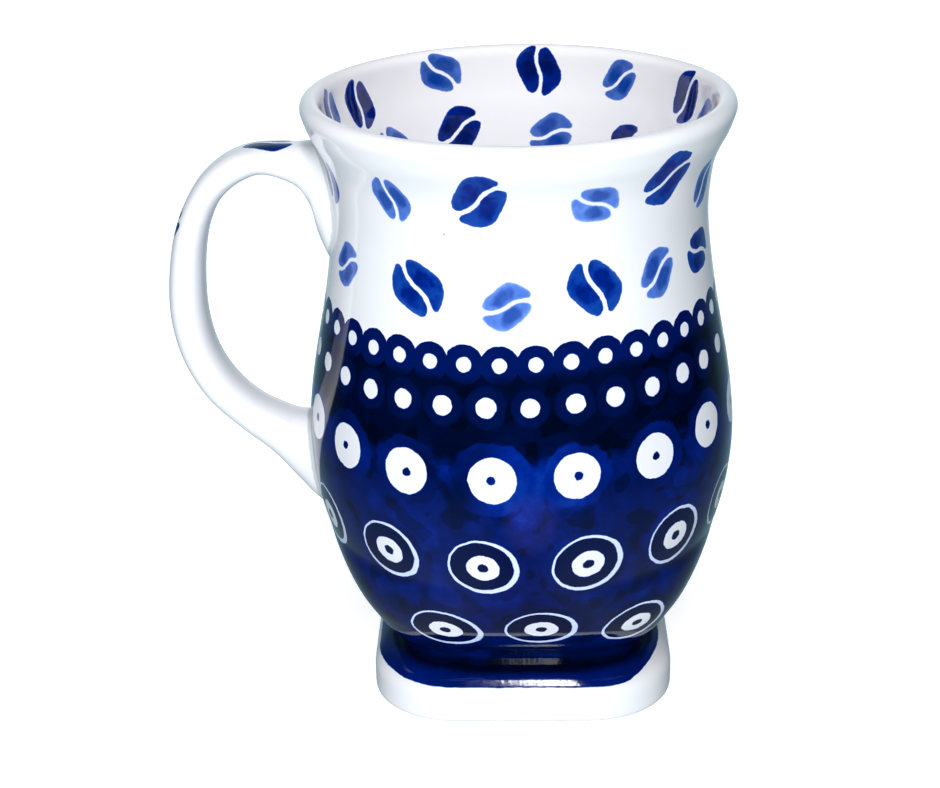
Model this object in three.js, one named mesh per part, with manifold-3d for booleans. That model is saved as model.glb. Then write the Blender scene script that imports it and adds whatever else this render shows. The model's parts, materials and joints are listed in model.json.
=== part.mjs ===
// Footed stoneware mug: a round bellied cup with a rolled lip, which turns square towards
// its base and is luted onto a square hollow foot, with a strap handle joined under the lip
// and on the belly.
// Millimetres, +Z up. The mug stands on z = 0 and the handle points along -X.
import * as THREE from 'three';
import { mergeVertices } from 'three/addons/utils/BufferGeometryUtils.js';
import Module from 'manifold-3d';

const wasm = await Module();
wasm.setup();

// ---- driving dimensions ----
const HEIGHT = 126.4;
const LIP_CENTRE_R = 41.5;      // middle of the rolled lip, from the cup's axis
const LIP_HALF_WIDTH = 2.1;
const LIP_HALF_HEIGHT = 2.3;
const WAIST_HALF = 25.4;        // where the cup meets the foot, from the axis to a flat side
const WAIST_Z = 10.9;
const ROUND = 2;                // exponent of a round section
const WAIST_SQUARENESS = 4.3;   // exponent of the section at the waist
const SQUARE_FROM_Z = 36;       // the cup is round above this, squarer and squarer below
const SQUARING_EASE = 1.3;
const BELLY_R = 44.7;           // widest part of the cup
const HANDLE_REACH = 72.5;      // outermost point of the handle, from the cup's axis
const FOOT_HALF = 31.7;         // half the width of the square foot
const FOOT_CORNER = 17.6;       // its corner radius, seen from above
const FOOT_TOP_Z = 10.3;
const RECESS_HALF = 24.2;       // hollow under the foot
const RECESS_Z = 5.5;
const RING_OUTER = 31.4;        // bare standing ring
const RING_INNER = 25.4;
const RING_HEIGHT = 0.9;
const GAP = 0.3;                // clearance between neighbouring solids
const HANDLE_SQUARENESS = 2.4;  // exponent of the strap's section
const SLIP_THICKNESS = 0.7;     // of the slip round the handle's ends, at its thin edge
const SLIP_SWELL = 0.7;         // how much thicker it is against the cup

// The origin is under the middle of the whole mug, handle included.
const CUP_AXIS_X = (HANDLE_REACH - BELLY_R) / 2;

const CUP_SEGMENTS = 52;
const CORNER_SEGMENTS = 7;
const STRAP_SIDES = 20;
const STRAP_STATIONS = 42;
const UPPER_SLIP_STATIONS = 5;
const LOWER_SLIP_STATIONS = 4;

// ---- cup profiles: [half width, height] from the waist up and from the lip down ----
const OUTER_PROFILE = [
  [WAIST_HALF, WAIST_Z], [27.0, 12.2], [28.7, 14.0], [30.9, 16.9], [33.4, 20.3],
  [35.7, 23.8], [38.1, 27.6], [39.9, 31.0], [41.2, 34.2], [43.2, 41.3], [44.4, 48.8],
  [BELLY_R, 56.2], [44.1, 63.6], [43.0, 71.0], [41.6, 78.4], [40.2, 85.8], [39.1, 93.3],
  [38.4, 100.0], [38.3, 105.0], [38.8, 110.3], [39.5, 114.0], [40.8, 117.2],
  [42.3, 120.1],
];
const INNER_PROFILE = [
  [39.2, 122.8], [38.8, 120.8], [37.9, 117.6], [36.7, 114.2], [35.6, 109.4],
  [34.9, 104.5], [34.8, 100.0], [35.6, 93.3], [36.8, 85.8], [38.2, 78.4], [39.5, 71.0],
  [40.6, 63.6], [41.2, 56.2], [40.9, 48.8], [39.8, 41.3], [38.0, 33.9], [35.2, 26.5],
  [31.6, 20.6], [26.4, 16.9], [18.0, 15.3], [9.0, 15.0],
];

// ---- foot: [half width, corner radius, height] from the hollow underneath to its top ----
const UNDERSIDE_Z = RING_HEIGHT + GAP;
const FOOT_SECTION = [
  [RECESS_HALF - 1.2, 12.8, RECESS_Z],
  [RECESS_HALF - 0.2, 13.6, RECESS_Z - 0.7],
  [RECESS_HALF + 0.6, 14.2, UNDERSIDE_Z],
  [FOOT_HALF - 0.2, FOOT_CORNER - 0.2, UNDERSIDE_Z],
  [FOOT_HALF, FOOT_CORNER, UNDERSIDE_Z + 0.5],
  [FOOT_HALF, FOOT_CORNER, 5.4],
  [FOOT_HALF - 0.2, FOOT_CORNER, 6.9],
  [FOOT_HALF - 0.8, FOOT_CORNER, 8.2],
  [FOOT_HALF - 1.9, FOOT_CORNER + 0.6, 9.4],
  [FOOT_HALF - 3.5, FOOT_CORNER + 1.6, FOOT_TOP_Z],
];

// Bare ring under the foot: [half width, height], its corners concentric with the foot's.
const RING_SECTION = [
  [RING_INNER, RING_HEIGHT],
  [RING_INNER + 0.3, 0],
  [RING_OUTER - 0.3, 0],
  [RING_OUTER, RING_HEIGHT],
];

// Bead of slip round the waist: [distance outside the waist, height above the foot's top].
const BEAD_SECTION = [
  [0.5, 0.45], [0.7, 0.3], [2.2, 0.3], [1.9, 0.7], [1.3, 1.05],
];

// ---- strap handle: its outer and inner edges in the plane of the loop, and half its
// width, station by station from the neck over the top and down to the belly: [x, z] ----
const HANDLE_OUTER_EDGE = [
  [-35.9, 115.9], [-40.4, 116.0], [-44.6, 116.1], [-48.9, 116.2], [-54.2, 115.8],
  [-59.4, 113.9], [-64.6, 109.5], [-68.6, 102.9], [-71.2, 95.0], [-HANDLE_REACH, 84.6],
  [-72.1, 76.6], [-70.0, 69.0], [-65.7, 61.4], [-59.2, 54.9], [-53.2, 49.8],
  [-48.2, 44.4], [-40.6, 37.0],
];
const HANDLE_INNER_EDGE = [
  [-37.2, 91.0], [-40.5, 98.0], [-41.5, 103.2], [-44.3, 107.7], [-50.8, 110.3],
  [-55.8, 108.9], [-60.2, 105.3], [-62.9, 100.1], [-64.4, 93.6], [-65.0, 85.2],
  [-64.6, 78.4], [-62.9, 71.8], [-59.5, 65.9], [-55.0, 61.5], [-50.2, 58.9],
  [-46.0, 57.3], [-40.8, 56.0],
];
const HANDLE_HALF_WIDTH = [
  9.6, 8.6, 7.5, 6.6, 6.2, 6.0, 6.0, 6.0, 6.0, 6.0, 6.0, 6.0, 6.0, 6.0, 6.2, 6.6, 7.2,
];

// ---- materials ----
const whiteGlaze = () => new THREE.MeshStandardMaterial({
  color: 0xf1f3fa, roughness: 0.12, metalness: 0,
});
const patternedGlaze = () => new THREE.MeshStandardMaterial({
  color: 0x8f9cc4, roughness: 0.12, metalness: 0,
});
const bareStoneware = () => new THREE.MeshStandardMaterial({
  color: 0xcfc6b8, roughness: 0.85, metalness: 0,
});

// ---- geometry helpers ----

// Smooth curve through [r, z] points, as Vector2 list.
function smooth(points, perSpan) {
  const curve = new THREE.SplineCurve(points.map(([r, z]) => new THREE.Vector2(r, z)));
  return curve.getPoints((points.length - 1) * perSpan);
}

// Ring at height z whose flat sides are half away from the axis. An exponent of 2 is a
// circle and a higher one is squarer. grow moves every point away from the axis.
function cupRing(half, z, exponent, segments, grow = 0) {
  const ring = [];
  for (let i = 0; i < segments; i++) {
    const angle = (i / segments) * 2 * Math.PI;
    const [c, d] = [Math.cos(angle), Math.sin(angle)];
    const spread = Math.abs(c) ** exponent + Math.abs(d) ** exponent;
    const radius = half * spread ** (-1 / exponent) + grow;
    ring.push(new THREE.Vector3(radius * c, radius * d, z));
  }
  return ring;
}

// Closed skin over a list of rings with the same number of points. Both ends are
// capped with a fan; a loop of rings joins its last ring to its first instead.
function skin(rings, loop = false) {
  const sides = rings[0].length;
  const positions = rings.flat().flatMap((p) => [p.x, p.y, p.z]);
  const triangles = [];
  const at = (ring, i) => (ring % rings.length) * sides + (i % sides);
  for (let ring = 0; ring < rings.length - (loop ? 0 : 1); ring++) {
    for (let i = 0; i < sides; i++) {
      const [a, b] = [at(ring, i), at(ring, i + 1)];
      const [c, d] = [at(ring + 1, i + 1), at(ring + 1, i)];
      triangles.push(a, b, c, a, c, d);
    }
  }
  if (!loop) {
    for (const [ring, flip] of [[0, true], [rings.length - 1, false]]) {
      const middle = rings[ring]
        .reduce((sum, p) => sum.add(p), new THREE.Vector3())
        .divideScalar(sides);
      const hub = positions.push(middle.x, middle.y, middle.z) / 3 - 1;
      for (let i = 0; i < sides; i++) {
        const [a, b] = [at(ring, i), at(ring, i + 1)];
        triangles.push(...(flip ? [b, a, hub] : [a, b, hub]));
      }
    }
  }
  const geometry = new THREE.BufferGeometry();
  geometry.setAttribute('position', new THREE.Float32BufferAttribute(positions, 3));
  geometry.setIndex(triangles);
  return geometry;
}

// Ring of a square with round corners; with corner equal to half it is a circle.
function squareRing(half, corner, z) {
  const ring = [];
  for (let quarter = 0; quarter < 4; quarter++) {
    const start = (quarter * Math.PI) / 2;
    const centre = new THREE.Vector2(half - corner, half - corner)
      .rotateAround(new THREE.Vector2(), start);
    for (let i = 0; i <= CORNER_SEGMENTS; i++) {
      const angle = start + (i / CORNER_SEGMENTS) * (Math.PI / 2);
      ring.push(new THREE.Vector3(
        centre.x + corner * Math.cos(angle),
        centre.y + corner * Math.sin(angle),
        z,
      ));
    }
  }
  return ring;
}

function toSolid(geometry) {
  const bare = geometry.clone();
  bare.deleteAttribute('normal');
  bare.deleteAttribute('uv');
  const merged = mergeVertices(bare, 1e-4);
  return new wasm.Manifold(new wasm.Mesh({
    numProp: 3,
    vertProperties: merged.attributes.position.array,
    triVerts: new Uint32Array(merged.index.array),
  }));
}

function fromSolid(solid) {
  const mesh = solid.getMesh();
  const geometry = new THREE.BufferGeometry();
  geometry.setAttribute('position', new THREE.BufferAttribute(mesh.vertProperties, 3));
  geometry.setIndex(new THREE.BufferAttribute(mesh.triVerts, 1));
  geometry.computeVertexNormals();
  return geometry;
}

// ---- the cup ----

// Exponent of the cup's outside at height z.
function squareness(z) {
  const drop = Math.max(0, (SQUARE_FROM_Z - z) / (SQUARE_FROM_Z - WAIST_Z));
  return ROUND + (WAIST_SQUARENESS - ROUND) * drop ** SQUARING_EASE;
}

function outsideRings(perSpan, segments, grow = 0) {
  return smooth(OUTER_PROFILE, perSpan)
    .map((p) => cupRing(p.x, p.y, squareness(p.y), segments, grow));
}

function bowl() {
  const lip = [];
  for (let degrees = -35; degrees <= 165; degrees += 25) {
    const angle = THREE.MathUtils.degToRad(degrees);
    lip.push(new THREE.Vector2(
      LIP_CENTRE_R + LIP_HALF_WIDTH * Math.cos(angle),
      HEIGHT + LIP_HALF_HEIGHT * (Math.sin(angle) - 1),
    ));
  }
  const inside = [...lip, ...smooth(INNER_PROFILE, 1)];
  return skin([
    ...outsideRings(1, CUP_SEGMENTS),
    ...inside.map((p) => cupRing(p.x, p.y, ROUND, CUP_SEGMENTS)),
  ]);
}

// The cup's outside as a solid plug, one gap larger, that trims what is luted onto it.
function bowlEnvelope() {
  const segments = CUP_SEGMENTS * 2;
  const top = LIP_CENTRE_R + LIP_HALF_WIDTH;
  return toSolid(skin([
    ...outsideRings(2, segments, GAP),
    cupRing(top, HEIGHT + GAP, ROUND, segments, GAP),
  ]));
}

// ---- the foot, its bare ring and the bead of slip on top ----
const squareFoot = () => skin(FOOT_SECTION.map((ring) => squareRing(...ring)));

function footRing() {
  const cornerInset = FOOT_HALF - FOOT_CORNER;
  return skin(RING_SECTION.map(([half, z]) => squareRing(half, half - cornerInset, z)), true);
}

function footSlipJoint() {
  const rings = BEAD_SECTION.map(([out, up]) => (
    cupRing(WAIST_HALF, FOOT_TOP_Z + up, WAIST_SQUARENESS, CUP_SEGMENTS, out)));
  return skin(rings, true);
}

// ---- the strap handle ----

// Superellipse sections spanning the outer and inner edges, from station first to station
// last, counted from the neck. grow adds to the section all round, station by station.
function strapRings(first, last, grow = () => 0) {
  const curveOf = (edge) => new THREE.CatmullRomCurve3(
    edge.map(([x, z]) => new THREE.Vector3(x, 0, z)), false, 'centripetal',
  );
  const widths = new THREE.SplineCurve(
    HANDLE_HALF_WIDTH.map((w, i) => new THREE.Vector2(i, w)),
  );
  const [outerEdge, innerEdge] = [curveOf(HANDLE_OUTER_EDGE), curveOf(HANDLE_INNER_EDGE)];
  const power = 2 / HANDLE_SQUARENESS;
  const rings = [];
  for (let station = first; station <= last; station++) {
    const t = station / STRAP_STATIONS;
    const outer = outerEdge.getPoint(t);
    const inner = innerEdge.getPoint(t);
    const centre = outer.clone().add(inner).multiplyScalar(0.5);
    const across = outer.clone().sub(inner);
    const halfThick = across.length() / 2 + grow(station);
    const halfWide = widths.getPoint(t).y + grow(station);
    across.normalize();
    const ring = [];
    for (let i = 0; i < STRAP_SIDES; i++) {
      const angle = (i / STRAP_SIDES) * 2 * Math.PI;
      const [c, d] = [Math.cos(angle), Math.sin(angle)];
      const thick = Math.sign(c) * Math.abs(c) ** power * halfThick;
      const wide = Math.sign(d) * Math.abs(d) ** power * halfWide;
      ring.push(centre.clone().addScaledVector(across, thick)
        .add(new THREE.Vector3(0, wide, 0)));
    }
    rings.push(ring);
  }
  return rings;
}

function handle(envelope) {
  return fromSolid(toSolid(skin(strapRings(0, STRAP_STATIONS))).subtract(envelope));
}

// Collar of slip round one end of the handle: fullest at the cup, thin along the strap.
function handleSlip(envelope, end, length) {
  const first = Math.max(0, end - length);
  const last = Math.min(STRAP_STATIONS, end + length);
  const fullness = (station) => (
    SLIP_THICKNESS + SLIP_SWELL * (1 - Math.abs(station - end) / length));
  const collar = toSolid(skin(strapRings(first, last, fullness)));
  const strap = toSolid(skin(strapRings(
    Math.max(0, first - 1), Math.min(STRAP_STATIONS, last + 1), () => GAP,
  )));
  return fromSolid(collar.subtract(strap).subtract(envelope));
}

// ---- assembly ----
const mug = new THREE.Group();
mug.name = 'mug';
mug.position.x = CUP_AXIS_X;

function add(name, geometry, material) {
  const mesh = new THREE.Mesh(geometry, material);
  mesh.name = name;
  mug.add(mesh);
}

const envelope = bowlEnvelope();
add('bowl', bowl(), patternedGlaze());
add('square_foot', squareFoot(), patternedGlaze());
add('foot_ring', footRing(), bareStoneware());
add('foot_slip_joint', footSlipJoint(), patternedGlaze());
add('handle', handle(envelope), whiteGlaze());
add('upper_handle_slip', handleSlip(envelope, 0, UPPER_SLIP_STATIONS), whiteGlaze());
add('lower_handle_slip', handleSlip(envelope, STRAP_STATIONS, LOWER_SLIP_STATIONS), whiteGlaze());

const part = new THREE.Group();
part.add(mug);
export default part;
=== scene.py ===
"""The visible model of a footed stoneware mug: a round cup with a rolled lip on a square foot,
with a strap handle. Cobalt stamps (beans, dots, eye dots, rings) lie under a clear gloss glaze.

Every size below is in millimetres unless it says otherwise, measured from the cup's own axis,
and is turned into metres when a mesh is made. Angles on the cup are in degrees, counted
anticlockwise from +X: the handle is at 180 and the side seen in front is at 270."""

import json
import math
import random

import bpy
import numpy as np
from mathutils import Matrix, Vector

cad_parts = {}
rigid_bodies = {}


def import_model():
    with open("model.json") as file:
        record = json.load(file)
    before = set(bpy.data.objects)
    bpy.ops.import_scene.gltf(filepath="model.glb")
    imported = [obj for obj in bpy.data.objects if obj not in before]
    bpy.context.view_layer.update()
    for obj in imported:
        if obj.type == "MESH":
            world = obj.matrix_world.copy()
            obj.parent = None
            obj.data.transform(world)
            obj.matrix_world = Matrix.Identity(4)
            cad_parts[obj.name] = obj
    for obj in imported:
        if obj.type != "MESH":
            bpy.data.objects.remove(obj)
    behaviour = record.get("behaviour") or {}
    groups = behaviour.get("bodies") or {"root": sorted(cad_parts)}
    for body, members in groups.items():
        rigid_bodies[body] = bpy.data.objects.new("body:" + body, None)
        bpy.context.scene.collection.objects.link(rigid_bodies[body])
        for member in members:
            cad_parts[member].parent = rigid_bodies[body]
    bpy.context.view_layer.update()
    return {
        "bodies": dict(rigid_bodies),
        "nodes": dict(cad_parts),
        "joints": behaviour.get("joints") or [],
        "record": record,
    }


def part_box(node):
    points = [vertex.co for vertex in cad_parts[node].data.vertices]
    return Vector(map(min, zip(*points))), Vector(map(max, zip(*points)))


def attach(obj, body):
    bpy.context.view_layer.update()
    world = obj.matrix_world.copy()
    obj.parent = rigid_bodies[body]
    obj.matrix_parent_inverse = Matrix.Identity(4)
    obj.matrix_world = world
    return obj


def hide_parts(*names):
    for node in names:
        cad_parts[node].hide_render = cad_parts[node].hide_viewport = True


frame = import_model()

MM = 0.001
BODY = "root"
random.seed(7)

bowl_low, bowl_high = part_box("bowl")
foot_low, foot_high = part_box("square_foot")
ring_low, ring_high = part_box("foot_ring")
AXIS_X = (bowl_low.x + bowl_high.x) / 2 / MM
HEIGHT = bowl_high.z / MM
BELLY_R = (bowl_high.x - bowl_low.x) / 2 / MM
FOOT_HALF = (foot_high.x - foot_low.x) / 2 / MM
FOOT_TOP = foot_high.z / MM
RING_HALF = (ring_high.x - ring_low.x) / 2 / MM
RING_TOP = ring_high.z / MM

# ---------------------------------------------------------------- cup and handle outlines

LIP_CENTRE_R = 41.5
LIP_HALF_WIDTH = 2.1
LIP_HALF_HEIGHT = 2.3
OUTER_PROFILE = [            # half width and height, from inside the foot's top to the lip
    (26.0, 9.9), (26.3, 10.6), (26.6, 12.4), (27.3, 13.7), (28.6, 15.1), (30.5, 17.1), (33.1, 20.4),
    (35.7, 23.8), (38.1, 27.6), (39.9, 31.0), (41.2, 34.2), (43.2, 41.3), (44.4, 48.8),
    (BELLY_R, 56.2), (44.1, 63.6), (43.0, 71.0), (41.6, 78.4), (40.2, 85.8), (39.1, 93.3),
    (38.4, 100.0), (38.3, 105.0), (38.8, 110.3), (39.5, 114.0), (40.8, 117.2), (42.3, 120.1),
]
INNER_PROFILE = [            # from the lip to the middle of the floor inside
    (39.2, 122.8), (38.8, 120.8), (37.9, 117.6), (36.7, 114.2), (35.6, 109.4), (34.9, 104.5),
    (34.8, 100.0), (35.6, 93.3), (36.8, 85.8), (38.2, 78.4), (39.5, 71.0), (40.6, 63.6), (41.2, 56.2),
    (40.9, 48.8), (39.8, 41.3), (38.0, 33.9), (35.2, 26.5), (31.6, 20.6), (26.4, 16.9), (18.0, 15.3),
    (9.0, 15.05), (1.0, 15.0),
]
ROUND = 2.0                 # exponent of a round section
WAIST_SQUARENESS = 4.3      # exponent of the section at the waist: higher is squarer
WAIST_Z = 10.9
SQUARE_FROM_Z = 36.0        # the cup is round above this, squarer and squarer below
SQUARING_EASE = 1.3
HANDLE_REACH = AXIS_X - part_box("handle")[0].x / MM
# The loop's outer and inner edge, as x and height, and half its width, at the same stations
# from the neck over the top and down to the belly.
HANDLE_OUTER_EDGE = [
    (-35.9, 115.9), (-40.4, 116.0), (-44.6, 116.1), (-48.9, 116.2), (-54.2, 115.8), (-59.4, 113.9),
    (-64.6, 109.5), (-68.6, 102.9), (-71.2, 95.0), (-HANDLE_REACH, 84.6), (-72.1, 76.6), (-70.0, 69.0),
    (-65.7, 61.4), (-59.2, 54.9), (-53.2, 49.8), (-48.2, 44.4), (-40.6, 37.0),
]
HANDLE_INNER_EDGE = [
    (-37.2, 91.0), (-40.5, 98.0), (-41.5, 103.2), (-44.3, 107.7), (-50.8, 110.3), (-55.8, 108.9),
    (-60.2, 105.3), (-62.9, 100.1), (-64.4, 93.6), (-65.0, 85.2), (-64.6, 78.4), (-62.9, 71.8),
    (-59.5, 65.9), (-55.0, 61.5), (-50.2, 58.9), (-46.0, 57.3), (-40.8, 56.0),
]
HANDLE_HALF_WIDTH = [9.6, 8.6, 7.5, 6.6, 6.2] + [6.0] * 9 + [6.2, 6.6, 7.2]
HANDLE_SQUARENESS = 2.4
HANDLE_SIDES = 56
SLIP_FULLNESS = 1.3         # how far the luting slip swells each end of the handle
SLIP_CUT = 0.35             # taken off the swelling all along, so that it ends
SLIP_LENGTH = 5.0           # over which it dies away
NECK_SLIP_FULL = 3.0        # how far from the handle's end the slip starts to die away
BELLY_SLIP_FULL = 4.0
WALL_BITE = 1.2             # how deep the handle's ends sink into the cup's wall
PER_SPAN = 12               # steps of a curve between two of its points

# ---------------------------------------------------------------- the stamped pattern

TOP_DOTS = 37               # dots around the scalloped edge of the blue band
TOP_DOT_START = 264.4
TOP_DOT_HEIGHT = 84.2
TOP_DOT_SAG = 0.45          # how far the row dips in front
LOW_DOTS = 31
LOW_DOT_START = 261.0
LOW_DOT_HEIGHT = 76.6
LOW_DOT_SAG = 1.0
ROW_TILT = 0.9              # both rows climb this much towards +X
COLUMNS_PER_TOP_DOT = 8

# Stamps on the front: angle and height. The rest of each row is filled in.
EYES = [
    (199.0, 62.4), (218.2, 61.7), (239.6, 61.1), (262.8, 61.4), (284.1, 61.9), (306.5, 62.6),
    (328.0, 63.9),
]
EYES_HIDDEN = (350.0, 178.0, 9)         # first and last angle, and how many
RINGS = [(203.0, 41.6), (232.2, 41.9), (259.8, 42.0), (287.5, 42.2), (315.2, 43.0), (341.0, 44.2)]
RINGS_HIDDEN = (7.0, 176.0, 7)
BASE_RINGS = [(245.6, 23.8), (276.0, 24.8), (306.3, 23.8)]
BASE_RINGS_HIDDEN = (346.0, 194.0, 7)

# Beans on the outside and inside wall: angle, height, tilt of the slit from the
# horizontal (degrees), size (1 is 12.5 mm long) and strength of the blue.
DARK, MIDDLE, LIGHT = 0.66, 0.41, 0.35
DEEP, DULL = 0.75, 0.46     # the same blues in the shade of the inside
OUTSIDE_BEANS = [
    (200.4, 112.6, 82, 0.82, 0.60), (232.8, 114.0, 102, 0.80, MIDDLE), (259.6, 115.6, 40, 0.99, DARK),
    (291.1, 114.3, 154, 0.80, LIGHT), (313.5, 116.7, 36, 1.02, DARK), (336.0, 111.6, 62, 0.80, MIDDLE),
    (209.1, 96.6, 28, 0.80, MIDDLE), (239.9, 97.0, 130, 1.00, DARK), (266.4, 94.6, 18, 0.84, LIGHT),
    (292.0, 97.5, 113, 0.98, DARK), (313.4, 97.5, 40, 0.84, MIDDLE), (336.0, 98.2, 160, 0.88, DARK),
]
INSIDE_BEANS = [
    (170.3, 120.6, 75, 0.80, DULL), (151.2, 119.2, 85, 0.90, DEEP), (115.8, 121.7, 137, 0.82, DULL),
    (83.7, 121.3, 93, 0.92, DEEP), (55.9, 120.6, 40, 0.75, DULL), (25.4, 120.6, 70, 0.92, DEEP),
    (9.0, 118.6, 40, 0.75, DULL), (139.5, 108.6, 120, 0.80, DULL), (111.7, 109.6, 32, 0.92, DEEP),
    (78.5, 108.2, 14, 0.84, DULL), (49.0, 106.2, 60, 1.00, DEEP),
]
MORE_OUTSIDE = (2, 160, 27, (111.5, 97.0))      # first and last angle, step, heights of the levels
MORE_INSIDE = (200, 350, 29, (119.3, 108.5))
# Beans down the handle's outer face: distance along it, offset to the back, tilt and size.
HANDLE_BEANS = [
    (14.8, 0.6, 6, 0.90), (41.0, 0.4, 80, 0.82), (68.0, 1.2, 40, 0.80), (92.0, 1.0, 110, 0.80),
]
HANDLE_BLUE = 0.78

# How far from its middle a stamp's frame is held, in its own size.
EVERYWHERE = 1e6
LOW_DOT_REACH = 9.0
EYE_REACH = 13.0
RING_REACH = 14.0
BEAN_REACH = 9.0
HANDLE_BEAN_REACH = 10.0
INNER_FACE = -0.6           # place through the strap, -1 to 1, below which no stamp reaches
FAR = 99.0                  # local coordinate of a face with no stamp near it


# ---------------------------------------------------------------- curves and meshes

def spline(points, per_span):
    """Catmull-Rom curve through points of any dimension, per_span steps between two of them."""
    given = np.array(points, float)
    padded = np.vstack([given[:1], given, given[-1:]])
    out = []
    for i in range(len(given) - 1):
        a, b, c, d = padded[i : i + 4]
        for t in np.arange(per_span) / per_span:
            out.append(
                0.5 * (2 * b + (c - a) * t + (2 * a - 5 * b + 4 * c - d) * t**2
                       + (3 * b - a - 3 * c + d) * t**3)
            )
    return np.vstack([out, given[-1:]])


def path_length(points):
    """Distance along a polyline at each of its points."""
    steps = np.linalg.norm(np.diff(points, axis=0), axis=1)
    return np.concatenate([[0.0], np.cumsum(steps)])


def evenly(points, spacing):
    """The same polyline with points at an even spacing."""
    along = path_length(points)
    count = max(2, round(along[-1] / spacing))
    wanted = np.linspace(0, along[-1], count + 1)
    return np.stack([np.interp(wanted, along, column) for column in points.T], axis=1)


def skin(name, rings, loop=False):
    """A closed mesh over rings of points, capped at both ends, or joined last ring to first."""
    rings = np.asarray(rings, float)
    count, sides = rings.shape[:2]
    points = rings.reshape(-1, 3) + (AXIS_X, 0, 0)
    index = np.arange(count * sides).reshape(count, sides)
    ahead = np.roll(index, -1, axis=0) if loop else index[1:]
    behind = index if loop else index[:-1]
    quads = np.stack(
        [behind, np.roll(behind, -1, axis=1), np.roll(ahead, -1, axis=1), ahead], axis=-1
    ).reshape(-1, 4)
    faces = quads.tolist()
    vertices = points.tolist()
    if not loop:
        for ring, turn in ((index[0], -1), (index[-1], 1)):
            hub = len(vertices)
            vertices.append(points[ring].mean(axis=0).tolist())
            ordered = ring[::turn]
            faces += [[int(a), int(b), hub] for a, b in zip(ordered, np.roll(ordered, -1))]
    mesh = bpy.data.meshes.new(name)
    mesh.from_pydata((np.array(vertices) * MM).tolist(), [], faces)
    mesh.shade_smooth()
    piece = bpy.data.objects.new(name, mesh)
    bpy.context.scene.collection.objects.link(piece)
    return piece


def corner_tables(mesh):
    """For each face corner: its vertex and its face."""
    vertex = np.empty(len(mesh.loops), np.int32)
    mesh.loops.foreach_get("vertex_index", vertex)
    totals = np.empty(len(mesh.polygons), np.int32)
    mesh.polygons.foreach_get("loop_total", totals)
    return vertex, np.repeat(np.arange(len(totals)), totals)


def face_mean(values, vertex, face):
    """Mean over each face's corners of a value held by vertices."""
    counts = np.bincount(face)
    if values.ndim == 1:
        return np.bincount(face, values[vertex]) / counts
    return np.stack([np.bincount(face, column[vertex]) / counts for column in values.T], axis=1)


def put_corner_vectors(mesh, name, vectors):
    layer = mesh.attributes.new(name, "FLOAT_VECTOR", "CORNER")
    layer.data.foreach_set("vector", vectors.astype(np.float32).ravel())


def put_point_numbers(mesh, name, numbers):
    layer = mesh.attributes.new(name, "FLOAT", "POINT")
    layer.data.foreach_set("value", numbers.astype(np.float32))


def wrapped(degrees):
    return (degrees + 180.0) % 360.0 - 180.0


def stamp(mesh, name, angle, along, radius, motifs, reach):
    """Gives each face the local frame of the stamp nearest to it, as a corner vector.

    angle (degrees), along (millimetres up the wall) and radius are held by vertices. A motif is
    (angle, along, tilt, size, mark, flat). The vector is (right, up, mark), in millimetres of a
    stamp of size 1, turned by its tilt and stretched back if it is flat. A face further than
    reach from every stamp gets FAR."""
    vertex, face = corner_tables(mesh)
    turned = np.radians(angle)
    middle = face_mean(np.stack([np.cos(turned), np.sin(turned), along, radius], axis=1), vertex, face)
    face_angle = np.degrees(np.arctan2(middle[:, 1], middle[:, 0]))
    table = np.array(motifs, float)
    right = np.radians(wrapped(face_angle[:, None] - table[None, :, 0])) * middle[:, 3:4]
    up = (middle[:, 2:3] - table[None, :, 1]) / table[None, :, 5]
    distance = np.hypot(right, up) / table[None, :, 3]
    nearest = distance.argmin(axis=1)
    chosen = table[nearest[face]]
    right = np.radians(wrapped(angle[vertex] - chosen[:, 0])) * radius[vertex]
    up = (along[vertex] - chosen[:, 1]) / chosen[:, 5]
    tilt = np.radians(chosen[:, 2])
    local = np.stack([
        (right * np.cos(tilt) + up * np.sin(tilt)) / chosen[:, 3],
        (up * np.cos(tilt) - right * np.sin(tilt)) / chosen[:, 3],
        chosen[:, 4],
    ], axis=1)
    away = distance.min(axis=1)[face] > reach
    local[away, :2] = FAR
    put_corner_vectors(mesh, name, local)


# ---------------------------------------------------------------- the cup

def cup_profile():
    """(radius, height) from the waist up the outside, over the lip and down to the floor."""
    angles = np.radians(np.arange(-30, 171, 20))
    lip = np.stack([
        LIP_CENTRE_R + LIP_HALF_WIDTH * np.cos(angles),
        HEIGHT + LIP_HALF_HEIGHT * (np.sin(angles) - 1),
    ], axis=1)
    profile = evenly(spline(np.vstack([OUTER_PROFILE, lip, INNER_PROFILE]), PER_SPAN), spacing=0.7)
    profile[:, 0] = np.minimum(profile[:, 0], BELLY_R)
    profile[:, 1] = np.minimum(profile[:, 1], HEIGHT)
    return profile


def out_to(exponent, turned):
    """Distance to the side of a section of half width 1: exponent 2 is a circle."""
    spread = np.abs(np.cos(turned)) ** exponent + np.abs(np.sin(turned)) ** exponent
    return spread ** (-1 / exponent)


def by_hand(angle, along, spread=0.0, lift=0.0, tilt=0.0, resize=0.0, flat=1.0):
    """One motif, a little off its place, turn and size."""
    return (
        angle + random.uniform(-spread, spread), along + random.uniform(-lift, lift),
        random.uniform(-tilt, tilt), 1.0 + random.uniform(-resize, resize), random.random(), flat,
    )


def dot_row(count, start, height, sag, along_at, **loose):
    """Dots evenly round the cup."""
    motifs = []
    for i in range(count):
        angle = start + 360.0 * i / count
        turned = math.radians(angle)
        place = height + ROW_TILT * math.cos(turned) + sag * math.sin(turned)
        motifs.append(by_hand(angle, along_at(place), **loose))
    return motifs


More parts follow.
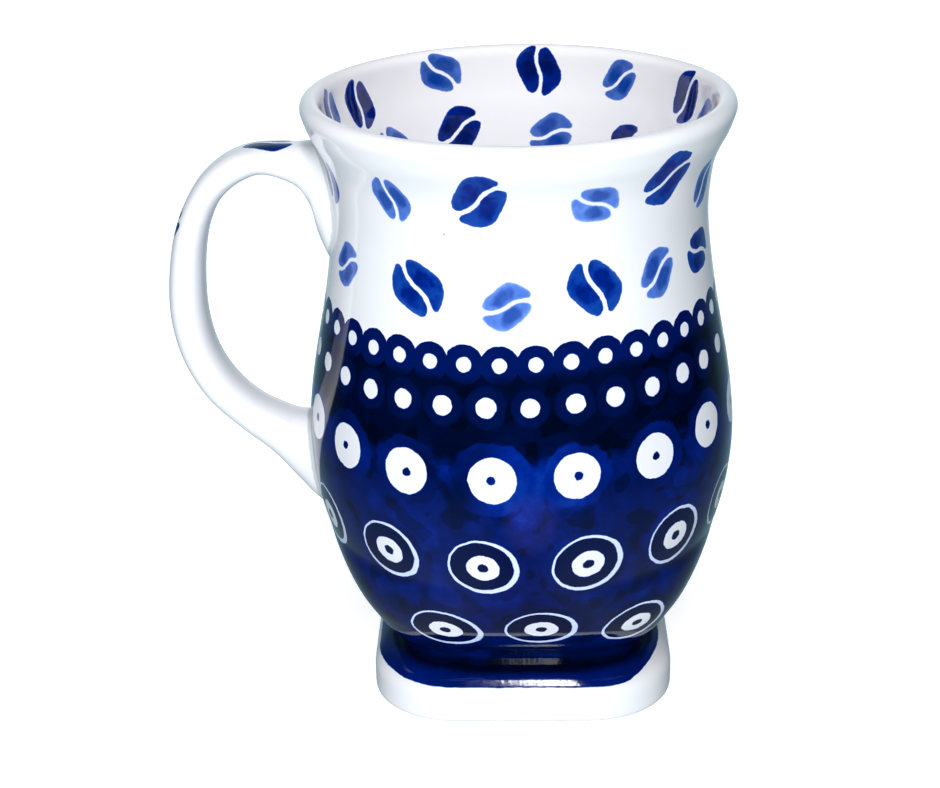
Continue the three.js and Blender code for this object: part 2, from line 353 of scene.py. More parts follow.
def stamp_row(seen, hidden, along_at, flat, tilt):
    """The stamps seen in front, and as many as hidden says, evenly from one angle to another."""
    first, last, count = hidden
    sweep = (last - first) % 360.0
    height = (seen[0][1] + seen[-1][1]) / 2
    motifs = [
        by_hand(angle, along_at(place), tilt=tilt, resize=0.02, flat=flat) for angle, place in seen
    ]
    for i in range(count):
        angle = first + sweep * i / (count - 1)
        motifs.append(by_hand(angle, along_at(height), 0.8, 0.5, tilt, 0.03, flat))
    return motifs


def more_beans(seen, first, last, step, heights):
    """Beans that carry a scatter on round the side that seen leaves bare."""
    beans = list(seen)
    for level, height in enumerate(heights):
        angle = first + level * step / 3
        while angle < last:
            beans.append((
                angle + random.uniform(-2.5, 2.5), height + random.uniform(-1.3, 1.3),
                random.uniform(15, 165), random.uniform(0.8, 0.98),
                random.choice((DARK, DARK, MIDDLE, LIGHT)),
            ))
            angle += step
    return beans


def wander(r, z, turned):
    """How far a cast and fettled wall strays inwards: it is never quite round. The waist and the
    middle of the floor stay true."""
    slow = 0.10 * (1 + np.sin(3 * turned + 0.05 * z + 1.0))
    quick = 0.05 * (1 + np.sin(7 * turned - 0.08 * z))
    fade = np.clip((z - 12.0) / 20.0, 0, 1)
    return (slow + quick) * np.where(r < 5, 0, fade)


def build_cup():
    """The whole cup as one surface, with a frame on it for each family of stamps."""
    profile = cup_profile()
    along = path_length(profile)
    top = int(profile[:, 1].argmax())
    columns = TOP_DOTS * COLUMNS_PER_TOP_DOT
    degrees = TOP_DOT_START + np.arange(columns) * 360.0 / columns
    turned = np.radians(degrees)

    r, z = profile[:, :1], profile[:, 1:]
    drop = np.clip((SQUARE_FROM_Z - z) / (SQUARE_FROM_Z - WAIST_Z), 0, 1) ** SQUARING_EASE
    outer_side = np.arange(len(profile))[:, None] < top
    exponent = ROUND + (WAIST_SQUARENESS - ROUND) * drop * outer_side
    radius = (r - wander(r, z, turned)) * out_to(exponent, turned)
    height = np.broadcast_to(z, radius.shape)
    cup = skin("cup", np.stack([radius * np.cos(turned), radius * np.sin(turned), height], axis=-1))

    def outside(height):
        """Distance along the profile of a height on the outer wall."""
        return float(np.interp(height, profile[:top, 1], along[:top]))

    def inside(height):
        """The same on the inner wall."""
        return float(np.interp(-height, -profile[top:, 1], along[top:]))

    # The two last vertices are the hubs of the caps, which carry no stamp.
    held_angle = np.concatenate([np.tile(degrees, len(profile)), [0, 0]])
    held_along = np.concatenate([np.repeat(along, columns), along[:1], along[-1:]])
    held_radius = np.concatenate([radius.ravel(), [1.0, 1.0]])
    top_dots = dot_row(
        TOP_DOTS, TOP_DOT_START, TOP_DOT_HEIGHT, TOP_DOT_SAG, outside, lift=0.1, resize=0.03,
    )
    low_dots = dot_row(
        LOW_DOTS, LOW_DOT_START, LOW_DOT_HEIGHT, LOW_DOT_SAG, outside,
        spread=0.25, lift=0.12, tilt=180, resize=0.05,
    )
    eyes = stamp_row(EYES, EYES_HIDDEN, outside, 0.99, 40)
    rings = stamp_row(RINGS, RINGS_HIDDEN, outside, 0.92, 8)
    rings += stamp_row(BASE_RINGS, BASE_RINGS_HIDDEN, outside, 0.87, 5)
    beans = []
    for places, to_along in (
        (more_beans(OUTSIDE_BEANS, *MORE_OUTSIDE), outside),
        (more_beans(INSIDE_BEANS, *MORE_INSIDE), inside),
    ):
        for degree, height, tilt, size, blue in places:
            beans.append((degree, to_along(height), tilt, size, blue, 1.0))
    for name, motifs, reach in (
        ("top_dot", top_dots, EVERYWHERE),
        ("low_dot", low_dots, LOW_DOT_REACH),
        ("eye_dot", eyes, EYE_REACH),
        ("ring", rings, RING_REACH),
        ("bean", beans, BEAN_REACH),
    ):
        stamp(cup.data, name, held_angle, held_along, held_radius, motifs, reach)
    put_point_numbers(cup.data, "inside", (held_along > along[top]).astype(float))
    cup.data.materials.append(cup_glaze())
    return cup


# ---------------------------------------------------------------- the square foot

def turned_by(point, spin):
    """A point of the floor plan turned about the axis by spin radians."""
    c, s = math.cos(spin), math.sin(spin)
    return point @ np.array([[c, s], [-s, c]])


def square_ring(half, corner, height, arc=20, side=14):
    """Ring of a square with round corners; corner equal to half makes it a circle."""
    ring = []
    for quarter in range(4):
        spin = math.pi / 2 * quarter
        centre = np.array([half - corner, half - corner])
        for i in range(arc + 1):
            angle = i / arc * math.pi / 2
            point = centre + corner * np.array([math.cos(angle), math.sin(angle)])
            ring.append(turned_by(point, spin))
        after = ring[-1]
        next_start = turned_by(np.array([half, half - corner]), spin + math.pi / 2)
        ring += [after + (next_start - after) * i / side for i in range(1, side)]
    flat = np.array(ring)
    return np.column_stack([flat, np.full(len(flat), height)])


FOOT_CORNER = 17.6
FOOT_WALL_Z = 4.4           # the painted border is measured up the wall from here
FOOT_SECTION = [  # half width, corner radius, height, from the recess under the foot to its top
    (20.0, 9.6, 5.5), (23.0, 12.6, 5.45), (24.0, 13.4, 4.8), (24.8, 14.0, 1.6), (25.3, 14.4, 0.7),
    (26.0, 14.8, 0.35), (28.6, 16.0, 0.3), (FOOT_HALF - 0.55, FOOT_CORNER - 0.4, 0.3),
    (FOOT_HALF - 0.12, FOOT_CORNER - 0.1, 0.5), (FOOT_HALF, FOOT_CORNER, 1.1),
    (FOOT_HALF, FOOT_CORNER, FOOT_WALL_Z), (FOOT_HALF, FOOT_CORNER, 5.4),
    (FOOT_HALF - 0.2, FOOT_CORNER, 6.9), (FOOT_HALF - 0.8, FOOT_CORNER, 8.2),
    (FOOT_HALF - 1.9, FOOT_CORNER + 0.6, 9.4), (FOOT_HALF - 3.5, FOOT_CORNER + 1.6, FOOT_TOP - 0.05),
    (25.0, 17.0, FOOT_TOP), (20.0, 14.0, FOOT_TOP),
]


def build_foot():
    """The hollow square foot, from the recess under it to its top inside the cup's waist."""
    section = evenly(spline(FOOT_SECTION, per_span=10), spacing=0.5)
    section[:, 0] = np.minimum(section[:, 0], FOOT_HALF)
    section[:, 1] = np.minimum(section[:, 1], section[:, 0])
    foot = skin("square_foot_glazed", [square_ring(*point) for point in section])
    along = path_length(section[:, [0, 2]])
    on_wall = section[:, 0] >= FOOT_HALF - 0.1
    start = along[int(np.argmin(np.abs(section[:, 2] - FOOT_WALL_Z) + np.where(on_wall, 0, FAR)))]
    sides = len(square_ring(*section[0]))
    held = np.concatenate([np.repeat(along, sides), along[:1], along[-1:]]) - start
    put_point_numbers(foot.data, "above_wall", held)
    foot.data.materials.append(foot_glaze())
    return foot


RING_INNER = 25.6


def build_standing_ring():
    """The bare ring under the foot, its corners concentric with the foot's."""
    corner = FOOT_CORNER - FOOT_HALF
    inner = RING_INNER
    outer = RING_HALF - 0.2
    section = [
        (inner, RING_TOP + 0.2), (inner + 0.1, 0.5), (inner + 0.5, 0.08), (inner + 1.2, 0.0),
        (outer - 1.0, 0.0), (outer - 0.35, 0.08), (outer, 0.4), (outer, RING_TOP + 0.2),
    ]
    smooth = evenly(spline(section, per_span=6), spacing=0.35)
    smooth[:, 1] = np.maximum(smooth[:, 1], 0.0)
    ring = skin("bare_standing_ring", [square_ring(h, h + corner, z) for h, z in smooth], loop=True)
    ring.data.materials.append(bare_stoneware())
    return ring


# ---------------------------------------------------------------- the handle

def stamp_handle(mesh, along, side, through):
    """Beans down the handle's outer face: the nearest one's frame, as on the cup."""
    vertex, face = corner_tables(mesh)
    table = np.array(HANDLE_BEANS, float)
    middle = face_mean(np.stack([along, side, through], axis=1), vertex, face)
    distance = np.abs(middle[:, :1] - table[None, :, 0])
    nearest = distance.argmin(axis=1)
    chosen = table[nearest[face]]
    run = along[vertex] - chosen[:, 0]
    across = side[vertex] - chosen[:, 1]
    tilt = np.radians(chosen[:, 2])
    size = chosen[:, 3]
    local = np.stack([
        (run * np.cos(tilt) + across * np.sin(tilt)) / size,
        (across * np.cos(tilt) - run * np.sin(tilt)) / size,
        np.full(len(vertex), HANDLE_BLUE),
    ], axis=1)
    away = (middle[:, 2] < INNER_FACE) | (distance.min(axis=1) > HANDLE_BEAN_REACH)
    local[away[face], :2] = FAR
    put_corner_vectors(mesh, "bean", local)


def rounded_strap():
    """One turn about the strap's section, half width 1: (turn, place through it, place across)."""
    turn = np.arange(HANDLE_SIDES) / HANDLE_SIDES * 2 * math.pi
    power = 2 / HANDLE_SQUARENESS
    c, d = np.cos(turn), np.sin(turn)
    return turn, np.sign(c) * np.abs(c) ** power, np.sign(d) * np.abs(d) ** power


def build_handle():
    """The strap from neck to belly, its ends swollen by slip and sunk into the cup's wall."""
    outer = spline(HANDLE_OUTER_EDGE, PER_SPAN)
    inner = spline(HANDLE_INNER_EDGE, PER_SPAN)
    width = spline([[w] for w in HANDLE_HALF_WIDTH], PER_SPAN)[:, 0]
    middle = (outer + inner) / 2
    along = path_length(middle)
    neck_end = np.exp(-(along - NECK_SLIP_FULL).clip(0) / SLIP_LENGTH)
    belly_end = np.exp(-(along[-1] - BELLY_SLIP_FULL - along).clip(0) / SLIP_LENGTH)
    swell = np.maximum(0.0, SLIP_FULLNESS * (neck_end + belly_end) - SLIP_CUT)
    profile = cup_profile()
    top = int(profile[:, 1].argmax())
    turn, through, sideways = rounded_strap()
    outer_along = path_length(outer)
    rings, held_along, held_side, held_through, held_off = [], [], [], [], []
    for i in range(len(middle)):
        outward = outer[i] - inner[i]
        thick = np.linalg.norm(outward) / 2
        outward /= 2 * thick
        reach = through * (thick + swell[i])
        wide = sideways * (width[i] + swell[i])
        ring = np.stack([
            middle[i, 0] + outward[0] * reach, wide, middle[i, 1] + outward[1] * reach,
        ], axis=1)
        # What would be inside the cup is pushed out to just under its surface.
        wall = np.interp(ring[:, 2], profile[:top, 1], profile[:top, 0])
        out = np.hypot(ring[:, 0], ring[:, 1])
        push = np.maximum(1.0, (wall - WALL_BITE) / out)
        ring[:, :2] *= push[:, None]
        ring[:, 0] = np.maximum(ring[:, 0], -HANDLE_REACH)
        rings.append(ring)
        around = path_length(np.stack([np.append(reach, reach[0]), np.append(wide, wide[0])], axis=1))
        held_along.append(np.full(HANDLE_SIDES, outer_along[i]))
        held_side.append(np.where(turn <= math.pi, around[:-1], around[:-1] - around[-1]))
        held_through.append(through)
        held_off.append(out - wall)
    handle = skin("strap_handle", rings[::-1])
    held = [
        np.concatenate([np.array(values[::-1]).ravel(), [0, 0]])
        for values in (held_along, held_side, held_through, held_off)
    ]
    stamp_handle(handle.data, *held[:3])
    put_point_numbers(handle.data, "off_wall", held[3])
    handle.data.materials.append(handle_glaze())
    return handle


# ---------------------------------------------------------------- shader graphs

class Graph:
    """Builds one shader graph. Every method takes numbers or sockets and gives a socket."""

    def __init__(self, tree):
        self.tree = tree
        tree.nodes.clear()

    def feed(self, socket, value):
        if isinstance(value, bpy.types.NodeSocket):
            self.tree.links.new(value, socket)
        else:
            socket.default_value = value

    def node(self, kind, inputs=None, **settings):
        made = self.tree.nodes.new(kind)
        for key, value in settings.items():
            setattr(made, key, value)
        for key, value in (inputs or {}).items():
            self.feed(made.inputs[key], value)
        return made

    def math(self, operation, a, b=0.0):
        return self.node("ShaderNodeMath", {0: a, 1: b}, operation=operation).outputs[0]

    def add(self, a, b):
        return self.math("ADD", a, b)

    def sub(self, a, b):
        return self.math("SUBTRACT", a, b)

    def mul(self, a, b):
        return self.math("MULTIPLY", a, b)

    def top(self, a, b):
        return self.math("MAXIMUM", a, b)

    def length(self, x, y):
        return self.math("SQRT", self.add(self.mul(x, x), self.mul(y, y)))

    def step(self, value, low, high, start=0.0, end=1.0):
        """Smooth step of value from start at low to end at high."""
        made = self.node(
            "ShaderNodeMapRange", {0: value, 1: low, 2: high, 3: start, 4: end},
            interpolation_type="SMOOTHSTEP",
        )
        return made.outputs[0]

    def under(self, value, edge, soft):
        """1 where value is under edge, 0 above it."""
        return self.step(value, self.sub(edge, soft), self.add(edge, soft), 1.0, 0.0)

    def mix(self, share, a, b):
        made = self.node("ShaderNodeMix", {0: share, 2: a, 3: b}, data_type="FLOAT")
        return made.outputs[0]

    def mix_colour(self, share, a, b, blend="MIX"):
        made = self.node("ShaderNodeMix", {0: share, 6: a, 7: b}, data_type="RGBA", blend_type=blend)
        return made.outputs[2]

    def place(self):
        """Position on the object, in millimetres."""
        where = self.node("ShaderNodeTexCoord").outputs["Object"]
        return self.node("ShaderNodeVectorMath", {0: where, 3: 1 / MM}, operation="SCALE").outputs[0]

    def noise(self, place, grain, detail=2.0, roughness=0.5, shift=0.0):
        """Noise about 0 to 1 whose lumps are about grain millimetres apart."""
        if shift:
            place = self.node("ShaderNodeVectorMath", {0: place, 1: (shift, shift, shift)}).outputs[0]
        made = self.node(
            "ShaderNodeTexNoise",
            {"Vector": place, "Scale": 1 / grain, "Detail": detail, "Roughness": roughness},
        )
        return made.outputs["Fac"]

    def split(self, vector):
        """The three parts of a vector."""
        return self.node("ShaderNodeSeparateXYZ", {0: vector}).outputs

    def surface(self, shader, output="ShaderNodeOutputMaterial"):
        self.node(output, {"Surface": shader.outputs[0]})

    def held(self, name):
        """(x, y, mark) of a stamp's local frame held on the mesh."""
        frame = self.node("ShaderNodeAttribute", attribute_name=name)
        x, y, mark = self.split(frame.outputs["Vector"])
        return x, y, mark

    def number(self, name):
        """A number held on the mesh by its points."""
        return self.node("ShaderNodeAttribute", attribute_name=name).outputs["Fac"]

    def ramp(self, value, stops):
        made = self.node("ShaderNodeValToRGB", {0: value})
        ramp = made.color_ramp
        while len(ramp.elements) < len(stops):
            ramp.elements.new(0.5)
        for element, (position, colour) in zip(ramp.elements, stops):
            element.position = position
            element.color = (*colour, 1.0)
        return made.outputs[0]


WHITE_GLAZE = (0.87, 0.885, 0.925)
COBALT = (  # how the blue looks by how much of it lies under the glaze
    (0.00, WHITE_GLAZE),
    (0.10, (0.66, 0.75, 0.93)),
    (0.22, (0.26, 0.42, 0.86)),
    (0.34, (0.095, 0.215, 0.70)),
    (0.50, (0.028, 0.090, 0.40)),
    (0.64, (0.004, 0.050, 0.34)),
    (0.72, (0.0, 0.016, 0.225)),
    (0.80, (0.0, 0.0085, 0.125)),
    (0.88, (0.0, 0.0045, 0.050)),
    (1.00, (0.0, 0.0018, 0.012)),
)


def shaken(g, x, y, place, amount, grain):
    """Local coordinates with a hand-cut stamp's uneven edge."""
    dx = g.mul(g.sub(g.noise(place, grain, 2.0, 0.6), 0.5), 2 * amount)
    dy = g.mul(g.sub(g.noise(place, grain, 2.0, 0.6, shift=41.0), 0.5), 2 * amount)
    return g.add(x, dx), g.add(y, dy)


SLIT_HALF_WIDTH = 0.46
LOBE_ROUNDING = 1.3         # radius of a lobe's corners where the slit runs out


def bean_blue(g, place):
    """Strength of blue of the bean stamps: two lobes either side of a curved slit."""
    x, y, tone = g.held("bean")
    x, y = shaken(g, x, y, place, 0.28, 1.7)
    # The slit runs along x in a flat S, and the two lobes have slid apart along it.
    bend = g.mul(g.math("SINE", g.mul(x, 0.62)), 0.48)
    across = g.sub(g.sub(y, bend), 0.25)
    side = g.math("SIGN", across)
    slid = g.sub(x, g.mul(side, 0.35))
    lobe = g.length(g.mul(slid, 1 / 6.05), g.mul(across, 1 / 5.0))
    flare = g.mul(g.math("POWER", g.math("ABSOLUTE", g.mul(slid, 1 / 6.15)), 6.0), 0.30)
    # Depth inside a lobe, whose corners are round where the slit opens at the rim.
    from_rim = g.mul(g.sub(1.0, lobe), 5.5)
    from_slit = g.sub(g.sub(g.math("ABSOLUTE", across), flare), SLIT_HALF_WIDTH)
    short_of_rim = g.top(g.sub(LOBE_ROUNDING, from_rim), 0.0)
    short_of_slit = g.top(g.sub(LOBE_ROUNDING, from_slit), 0.0)
    depth = g.sub(LOBE_ROUNDING, g.length(short_of_rim, short_of_slit))
    soft = g.step(tone, 0.3, 0.6, 0.32, 0.14)
    shape = g.step(depth, g.mul(soft, -1.0), soft)
    # The blue: pooled in the middle of a lobe, washed out in patches and thinner at the rim.
    pool_x = g.mul(g.add(slid, g.mul(side, 0.8)), 1 / 2.6)
    pool_y = g.mul(g.sub(across, g.mul(side, 2.3)), 1 / 1.7)
    pool = g.length(pool_x, pool_y)
    pooled_and_shade = g.step(g.add(pool, g.mul(g.noise(place, 2.2, 1.0), 0.9)), 1.05, 1.75, 0.16, 0.0)
    pooled_and_shade = g.mul(pooled_and_shade, g.step(tone, 0.45, 0.62, 1.0, 0.5))
    wash = g.mul(g.sub(g.noise(place, 3.2, 3.0, 0.6), 0.5), 0.26)
    rim = g.step(lobe, 0.80, 1.0, 0.0, -0.05)
    blue = g.add(g.add(tone, pooled_and_shade), g.add(wash, rim))
    return g.mul(shape, g.top(blue, 0.16))


def halo(g, place, blue, x, y, radius, soft, strength, amount, grain=4.0):
    """Blue with a dab of another strength laid over it round a stamp's middle."""
    x, y = shaken(g, x, y, place, amount, grain)
    return g.mix(g.under(g.length(x, y), radius, soft), blue, strength)


def disc(g, place, x, y, radius, amount=0.2, grain=1.5):
    """1 on a hand-cut disc, 0 off it."""
    x, y = shaken(g, x, y, place, amount, grain)
    return g.under(g.length(x, y), radius, 0.11)


def reserves(g, place, top_dot, low_dot, eye, ring):
    """White left in the band, 0 to 1: dots, eye dots with a pupil, and dots ringed by a hoop."""
    def minus(a, b):
        return g.top(g.sub(a, b), 0.0)

    white = disc(g, place, *top_dot[:2], 1.50)
    white = g.top(white, disc(g, place, *low_dot[:2], 1.93, 0.26))
    eye_x, eye_y, eye_mark = eye
    pupil = disc(g, place, g.add(eye_x, g.mul(g.sub(eye_mark, 0.5), 0.7)), eye_y, 0.86, 0.35, 0.9)
    white = g.top(white, minus(disc(g, place, eye_x, eye_y, 4.72, 0.3, 2.2), pupil))
    ring_x, ring_y = ring[:2]
    dot = disc(g, place, ring_x, ring_y, 3.42, 0.28)
    dot = minus(dot, disc(g, place, ring_x, ring_y, 1.15, 0.3, 1.2))
    white = g.top(white, dot)
    shifted_x, shifted_y = g.add(ring_x, 0.32), g.sub(ring_y, 0.16)
    hoop = disc(g, place, ring_x, ring_y, 7.35, 0.28, 2.5)
    hoop = minus(hoop, disc(g, place, shifted_x, shifted_y, 6.5, 0.25, 2.5))
    return g.top(white, g.mul(hoop, 0.93))


def band_blue(g, place):
    """Strength of blue of the wide band: overlapping sponge stamps round their white reserves."""
    top_dot, low_dot, eye, ring = (g.held(name) for name in ("top_dot", "low_dot", "eye_dot", "ring"))
    top_x, top_y = top_dot[:2]
    ring_x, ring_y = ring[:2]
    in_disc = g.under(g.length(*shaken(g, top_x, top_y, place, 0.26, 1.6)), 3.86, 0.09)
    band = g.top(in_disc, g.under(top_y, 0.0, 0.05))

    # The ground: dense and dabbed along the scallops, washed out and patchy below.
    mottle = g.sub(g.noise(place, 5.0, 4.0, 0.62), 0.5)
    broad = g.sub(g.noise(place, 15.0, 1.0, 0.5, shift=17.0), 0.5)
    dab = g.step(g.noise(place, 4.6, 0.5, 0.5, shift=63.0), 0.58, 0.62, 0.0, 0.07)
    patch = g.step(g.noise(place, 9.0, 1.5, 0.5, shift=71.0), 0.48, 0.64, 0.0, -0.06)
    dense = g.add(g.add(0.965, dab), g.mul(mottle, 0.10))
    washed = g.add(g.add(0.835, g.mul(dab, 0.8)), g.add(g.mul(mottle, 0.18), patch))
    low = g.step(g.add(top_y, g.mul(mottle, 14.0)), -22.0, -16.0, 1.0, 0.0)
    blue = g.mix(low, dense, washed)

    # The stamps: each row's own strength round its dots.
    blue = halo(g, place, blue, *low_dot[:2], 3.9, 0.45, g.add(0.882, g.mul(mottle, 0.08)), 0.7)
    disc_floor = g.step(g.add(top_y, g.mul(broad, 6.0)), -4.6, -1.2)
    rim_tone = g.add(0.838, g.mul(mottle, 0.05))
    blue = g.mix(g.mul(in_disc, disc_floor), blue, rim_tone)
    eye_tone = g.add(g.add(0.80, g.mul(broad, 0.40)), g.mul(mottle, 0.16))
    eye_reach = g.add(6.9, g.mul(eye[2], 0.8))
    blue = halo(g, place, blue, *eye[:2], eye_reach, 0.35, eye_tone, 1.9, 5.0)
    ring_tone = g.add(g.add(0.825, g.mul(broad, 0.24)), g.mul(mottle, 0.14))
    blue = halo(g, place, blue, ring_x, ring_y, 8.9, 0.9, ring_tone, 1.4)
    blue = halo(g, place, blue, ring_x, ring_y, 6.9, 0.2, g.add(0.885, g.mul(mottle, 0.05)), 0.2)

    # Painted sheen: the blue is lighter on a patch on the front of the belly, where a reflection
    # falls.
    across, back, height = g.split(place)
    sheen_x = g.sub(across, AXIS_X + 2.0)
    sheen_z = g.sub(height, 60.0)
    painted_sheen = g.step(g.add(g.length(sheen_x, sheen_z), g.mul(mottle, 12.0)), 4.0, 15.0, -0.065, 0.0)
    sheen_on_front = g.step(back, -20.0, -30.0)
    blue = g.add(blue, g.mul(painted_sheen, sheen_on_front))
    # Painted shade: the blue is darker at the crease over the foot. It is also darker towards the
    # waist.
    pooled_and_shade = g.step(height, 13.6, 11.6, 0.0, 0.12)
    darker_towards_waist = g.step(height, 44.0, 20.0, 0.0, 0.045)
    blue = g.add(blue, g.add(pooled_and_shade, darker_towards_waist))

    reserve = g.mul(reserves(g, place, top_dot, low_dot, eye, ring), g.add(0.97, g.mul(mottle, 0.05)))
    return g.mul(g.mul(band, blue), g.sub(1.0, reserve))


def glaze_finish(g, colour, place, wave=1.0, grit=0.0):
    """A clear gloss glaze over colour: faint orange peel, slow waves, grit and iron specks."""
    cells = g.node("ShaderNodeTexVoronoi", {"Vector": place, "Scale": 1 / 7.0, "Randomness": 1.0})
    chance = g.split(cells.outputs["Color"])[0]
    speck_size = g.step(chance, 0.86, 0.99, 0.0, 0.030)
    speck = g.math("LESS_THAN", cells.outputs["Distance"], speck_size)
    colour = g.mix_colour(g.mul(speck, 0.75), colour, (0.16, 0.10, 0.07, 1.0))
    peel = g.noise(place, 2.4, 2.0, 0.5, shift=5.0)
    swell = g.noise(place, 14.0, 1.0, 0.5, shift=29.0)
    height = g.add(g.mul(peel, 0.012), g.mul(swell, 0.16 * wave))
    if grit:
        height = g.add(height, g.mul(g.noise(place, 0.55, 1.0, 0.5, shift=37.0), grit))
    bump = g.node("ShaderNodeBump", {"Strength": 0.6, "Distance": MM, "Height": height})
    roughness = g.step(g.noise(place, 6.0, 3.0, 0.6, shift=83.0), 0.3, 0.7, 0.045, 0.085)
    shader = g.node("ShaderNodeBsdfPrincipled", {
        "Base Color": colour, "Roughness": roughness, "IOR": 1.5, "Normal": bump.outputs[0],
        "Specular IOR Level": 0.5,
    })
    g.surface(shader)


def new_material(name):
    material = bpy.data.materials.new(name)
    material.use_nodes = True
    return material, Graph(material.node_tree)


def tinted_white(g, place):
    """White glaze with the faint unevenness of its depth."""
    cloud = g.noise(place, 22.0, 2.0, 0.5, shift=11.0)
    return g.ramp(cloud, ((0.3, (0.86, 0.872, 0.915)), (0.7, (0.885, 0.90, 0.935))))


def cup_glaze():
    material, g = new_material("cup_cobalt_and_clear_glaze")
    place = g.place()
    blue = g.top(bean_blue(g, place), band_blue(g, place))
    colour = g.ramp(blue, COBALT)
    white = tinted_white(g, place)
    # Painted light: the inside wall is painted a brighter, bluer white than the outside, for the light
    # inside the cup.
    white = g.mix_colour(g.mul(g.number("inside"), 0.85), white, (0.965, 0.955, 0.985, 1.0))
    colour = g.mix_colour(g.step(blue, 0.0, 0.06), white, colour)
    glaze_finish(g, colour, place)
    return material


def foot_glaze():
    material, g = new_material("foot_cobalt_and_clear_glaze")
    place = g.place()
    height = g.number("above_wall")
    ragged = g.mul(g.sub(g.noise(place, 3.0, 3.0, 0.6), 0.5), 0.5)
    edge = g.add(height, ragged)
    across = g.split(place)[0]
    edge = g.sub(edge, g.step(across, AXIS_X + 20.0, AXIS_X + 31.0, 0.0, 2.6))
    edge = g.sub(edge, g.step(across, AXIS_X - 22.0, AXIS_X - 31.0, 0.0, 0.4))
    painted = g.step(edge, 3.62, 3.82)
    mottle = g.sub(g.noise(place, 5.0, 4.0, 0.62), 0.5)
    # Painted shade: the blue is darker on the foot's top towards the crease under the cup.
    pooled_and_shade = g.step(g.add(height, g.mul(mottle, 1.5)), 5.9, 8.4, 0.0, 0.15)
    blue = g.mul(painted, g.add(g.add(0.80, pooled_and_shade), g.mul(mottle, 0.16)))
    colour = g.mix_colour(g.step(blue, 0.0, 0.06), tinted_white(g, place), g.ramp(blue, COBALT))
    glaze_finish(g, colour, place, 0.3, 0.014)
    return material


def handle_glaze():
    material, g = new_material("handle_white_glaze")
    place = g.place()
    blue = bean_blue(g, place)
    ragged = g.mul(g.noise(place, 2.5, 2.0, 0.6, shift=47.0), 0.7)
    seam = g.step(g.sub(g.number("off_wall"), ragged), -0.1, 0.35, 0.62, 0.0)
    white = g.mix_colour(seam, tinted_white(g, place), (0.36, 0.40, 0.43, 1.0))
    colour = g.mix_colour(g.step(blue, 0.0, 0.06), white, g.ramp(blue, COBALT))
    glaze_finish(g, colour, place, 1.4)
    return material


def bare_stoneware():
    material, g = new_material("bare_fired_stoneware")
    place = g.place()
    grit = g.noise(place, 0.5, 4.0, 0.7)
    patch = g.noise(place, 9.0, 2.0, 0.5, shift=3.0)
    colour = g.ramp(g.add(g.mul(grit, 0.5), g.mul(patch, 0.5)), (
        (0.35, (0.42, 0.36, 0.29)), (0.5, (0.56, 0.50, 0.42)), (0.66, (0.66, 0.61, 0.54)),
    ))
    bump = g.node("ShaderNodeBump", {"Strength": 0.5, "Distance": MM * 0.25, "Height": grit})
    shader = g.node("ShaderNodeBsdfPrincipled", {
        "Base Color": colour, "Roughness": g.step(grit, 0.3, 0.7, 0.72, 0.92),
        "Normal": bump.outputs[0],
    })
    g.surface(shader)
    return material


# ---------------------------------------------------------------- floor, light and camera

FLOOR_HALF = 4.0            # metres


def build_floor():
    """A pale floor with a faint glow of its own. It is left out of the mug's reflections and light,
    which the world gives."""
    material, g = new_material("pale_floor")
    place = g.place()
    cloud = g.noise(place, 160.0, 2.0)
    colour = g.ramp(cloud, ((0.3, (0.90, 0.905, 0.91)), (0.7, (0.93, 0.93, 0.935))))
    shader = g.node("ShaderNodeBsdfPrincipled", {
        "Base Color": colour, "Roughness": 0.9, "Specular IOR Level": 0.1,
        "Emission Color": (0.98, 0.99, 1.0, 1.0), "Emission Strength": 0.66,
    })
    g.surface(shader)
    corners = [(x * FLOOR_HALF, y * FLOOR_HALF, 0) for x, y in ((-1, -1), (1, -1), (1, 1), (-1, 1))]
    mesh = bpy.data.meshes.new("floor")
    mesh.from_pydata(corners, [], [(0, 1, 2, 3)])
    mesh.materials.append(material)
    floor = bpy.data.objects.new("floor", mesh)
    bpy.context.scene.collection.objects.link(floor)
    floor.visible_glossy = False
    floor.visible_diffuse = False
    floor.visible_shadow = False


def light_panel(name, place, target, size, watts, seen=True):
    """A soft rectangular light at place, facing target, in metres and watts. Unless it is seen,
    the glaze doesn't reflect it."""
    lamp = bpy.data.lights.new(name, "AREA")
    lamp.shape = "RECTANGLE"
    lamp.size, lamp.size_y = size
    lamp.energy = watts
    holder = bpy.data.objects.new(name, lamp)
    holder.location = place
    holder.rotation_euler = (Vector(target) - Vector(place)).to_track_quat("-Z", "Y").to_euler()
    holder.visible_glossy = seen
    bpy.context.scene.collection.objects.link(holder)


HAZE_DIRECTION = (0.07, -0.86, -0.50)       # to a dim pale thing in front that the belly reflects


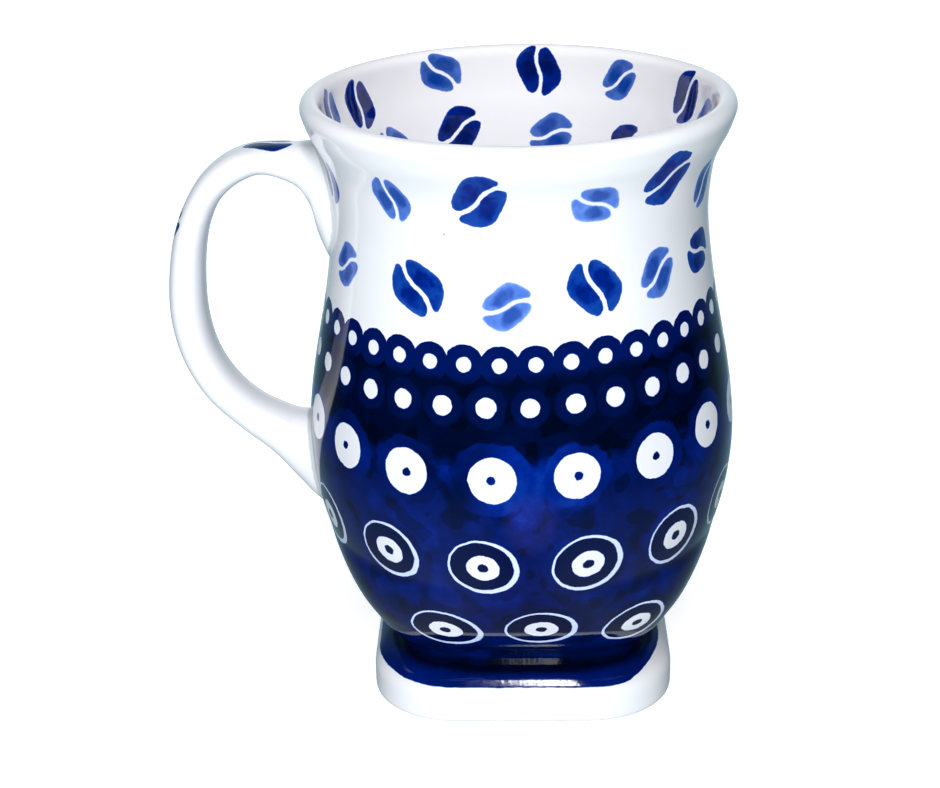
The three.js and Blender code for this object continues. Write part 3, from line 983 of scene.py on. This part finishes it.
def build_world():
    """Pale surroundings: white to the eye, a dim fill, and a reflection that is dark in front."""
    world = bpy.data.worlds.new("studio")
    bpy.context.scene.world = world
    world.use_nodes = True
    g = Graph(world.node_tree)
    path = g.node("ShaderNodeLightPath")
    direction = g.node("ShaderNodeTexCoord").outputs["Generated"]
    right, back, up = g.split(direction)
    backdrop = g.ramp(back, (
        (0.30, (0.0, 0.0, 0.0)), (0.62, (0.035, 0.065, 0.085)), (0.86, (0.12, 0.24, 0.31)),
        (0.96, (0.52, 0.72, 0.80)), (1.0, (0.90, 0.98, 1.0)),
    ))
    below = g.step(up, -0.50, -0.97)
    reflected = g.mix_colour(below, backdrop, (0.12, 0.12, 0.12, 1.0), "ADD")
    off_middle = g.step(g.math("ABSOLUTE", right), 0.06, 0.40)
    beside = g.mul(off_middle, g.step(up, -0.2, -0.6))
    reflected = g.mix_colour(beside, reflected, (0.10, 0.14, 0.13, 1.0), "ADD")
    toward = g.node("ShaderNodeVectorMath", {0: direction, 1: HAZE_DIRECTION}, operation="DOT_PRODUCT")
    haze = g.step(toward.outputs["Value"], 0.955, 0.992)
    reflected = g.mix_colour(haze, reflected, (0.26, 0.20, 0.22, 1.0), "ADD")
    from_floor = g.mul(g.step(back, 0.1, -0.6), g.step(up, 0.1, -0.4))
    lit = g.mix_colour(from_floor, (0.075, 0.085, 0.10, 1.0), (1.00, 1.12, 1.18, 1.0))
    colour = g.mix_colour(path.outputs["Is Glossy Ray"], lit, reflected)
    colour = g.mix_colour(path.outputs["Is Camera Ray"], colour, (1.0, 1.0, 1.0, 1.0))
    background = g.node("ShaderNodeBackground", {"Color": colour, "Strength": 1.0})
    g.surface(background, "ShaderNodeOutputWorld")


def build_lights():
    middle = (AXIS_X * MM, 0.0, 0.06)
    light_panel("front_key", (0.03, -1.1, 0.75), middle, (0.6, 0.4), 9.4, seen=False)
    light_panel("front_fill", (-0.38, -1.1, 0.06), middle, (0.4, 0.3), 3.6, seen=False)
    light_panel("top_fill", (0.02, -0.1, 1.1), middle, (0.35, 0.35), 1.8, seen=False)
    light_panel("back_fill", (0.0, 1.1, 0.10), middle, (0.6, 0.4), 7.0, seen=False)
    light_panel("strip", (0.030, -0.48, 0.66), middle, (0.034, 0.42), 1.7)


CAMERA_DISTANCE = 0.3846    # metres, along the floor from the cup's axis
CAMERA_HEIGHT = 0.2218      # metres
CAMERA_DOWN = 22.67         # degrees below the horizon
CAMERA_PAN = -1.47          # degrees: the mug stands a little right of the middle
CAMERA_ROLL = 0.458
LENS = 75.55


def build_camera():
    data = bpy.data.cameras.new("camera")
    data.sensor_width = 36.0
    data.lens = LENS
    data.clip_start = 0.02
    camera = bpy.data.objects.new("camera", data)
    down = Matrix.Rotation(math.radians(90 - CAMERA_DOWN), 4, "X")
    pan = Matrix.Rotation(math.radians(-CAMERA_PAN), 4, "Y")
    roll = Matrix.Rotation(math.radians(-CAMERA_ROLL), 4, "Z")
    place = Matrix.Translation((AXIS_X * MM, -CAMERA_DISTANCE, CAMERA_HEIGHT))
    camera.matrix_world = place @ down @ pan @ roll
    bpy.context.scene.collection.objects.link(camera)
    bpy.context.scene.camera = camera


# ---------------------------------------------------------------- assembly

build_camera()
build_floor()
build_world()
build_lights()

for piece, slot, nodes in (
    (build_cup(), "decorated_glaze", ("bowl",)),
    (build_foot(), "foot_glaze", ("square_foot", "foot_slip_joint")),
    (build_standing_ring(), "bare_stoneware", ("foot_ring",)),
    (build_handle(), "handle_glaze", ("handle", "upper_handle_slip", "lower_handle_slip")),
):
    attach(piece, BODY)
    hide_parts(*nodes)

bpy.context.scene.view_settings.view_transform = "Standard"
bpy.context.scene.view_settings.look = "None"
